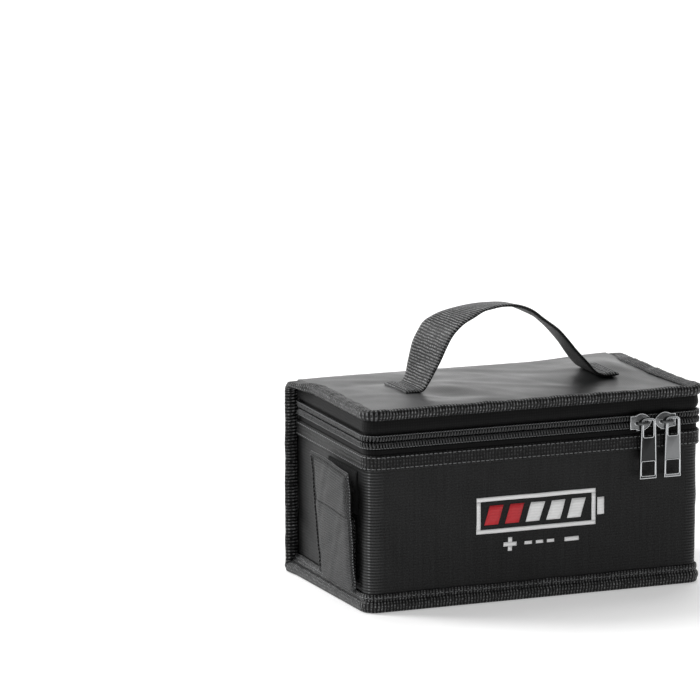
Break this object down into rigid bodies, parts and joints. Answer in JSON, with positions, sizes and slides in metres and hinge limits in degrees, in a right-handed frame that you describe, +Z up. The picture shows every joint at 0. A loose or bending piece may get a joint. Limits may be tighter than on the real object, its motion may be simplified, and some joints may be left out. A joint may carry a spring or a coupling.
{
  "type": "lipo battery safety bag",
  "caption": "Small zipped box bag of coated cloth for LiPo battery packs, with a top carrying handle and a side cable port under a flap.",
  "frame": {"origin": "middle of the base, on the surface the bag stands on", "axes": "+X to the right along the front, +Y towards the back panel the lid turns on, +Z up"},
  "size_m": [0.2203, 0.1275, 0.1626],
  "materials": {
    "coated_cloth": "fine ribbed coated glass cloth, satin",
    "lid_cloth": "the same coated cloth, smoother, catching the light",
    "lining": "plain coated cloth",
    "ribbed_tape": "ribbed nylon tape, dull",
    "webbing": "ribbed polypropylene webbing, dull",
    "zip_tape": "woven polyester, dull",
    "coil_nylon": "nylon coil, satin",
    "board": "stiff foam board, dull",
    "hook_and_loop": "hook and loop, dull",
    "gunmetal": "polished gunmetal plate on cast zinc"
  },
  "bodies": {
    "tub": {"wall_fabric": "coated_cloth", "back_fabric": "coated_cloth", "base_fabric": "coated_cloth", "front_board": "board", "left_board": "board", "right_board": "board", "back_board": "board", "base_board": "board", "tub_liner": "lining", "base_binding": "ribbed_tape", "back_binding_left": "ribbed_tape", "back_binding_right": "ribbed_tape", "lower_band": "ribbed_tape", "lower_zip_tape": "zip_tape", "lower_zip_coil": "coil_nylon", "loop_patch": "hook_and_loop", "port_binding": "ribbed_tape"},
    "lid": {"lid_fabric": "lid_cloth", "lid_board": "board", "lid_liner": "lining", "upper_zip_tape": "zip_tape", "upper_zip_coil": "coil_nylon", "lid_binding": "ribbed_tape", "handle_end_left": "webbing", "handle_end_right": "webbing"},
    "handle": {"handle_webbing": "webbing"},
    "flap": {"port_flap": "coated_cloth", "hook_patch": "hook_and_loop"},
    "slider_left": {"slider_left": "gunmetal", "slider_left_back": "gunmetal"},
    "slider_right": {"slider_right": "gunmetal", "slider_right_back": "gunmetal"},
    "pull_left": {"pull_left": "gunmetal"},
    "pull_right": {"pull_right": "gunmetal"}
  },
  "joints": [
    {"name": "lid_hinge", "type": "hinge", "parent": "tub", "child": "lid", "pos_m": [0, 0.0599, 0.096], "axis": [-1, 0, 0], "range_deg": [0, 180]},
    {"name": "slider_left_slide", "type": "slide", "parent": "tub", "child": "slider_left", "axis": [1, 0, 0], "range_m": [-0.152, 0]},
    {"name": "slider_right_slide", "type": "slide", "parent": "tub", "child": "slider_right", "axis": [1, 0, 0], "range_m": [0, 0.0095]},
    {"name": "pull_left_swing", "type": "hinge", "parent": "slider_left", "child": "pull_left", "pos_m": [0.0681, -0.0642, 0.0976], "axis": [0, 1, 0], "range_deg": [0, 35]},
    {"name": "pull_right_swing", "type": "hinge", "parent": "slider_right", "child": "pull_right", "pos_m": [0.0836, -0.0642, 0.0976], "axis": [0, -1, 0], "range_deg": [0, 80]},
    {"name": "handle_tilt", "type": "hinge", "parent": "lid", "child": "handle", "pos_m": [0, 0, 0.1175], "axis": [1, 0, 0], "range_deg": [-50, 50], "stiffness_Nm_per_rad": 0.05},
    {"name": "flap_fold", "type": "hinge", "parent": "tub", "child": "flap", "pos_m": [-0.10586, -0.02, 0.0116], "axis": [-0.045, -0.999, 0], "range_deg": [-4.5, 85], "stiffness_Nm_per_rad": 0.05}
  ]
}
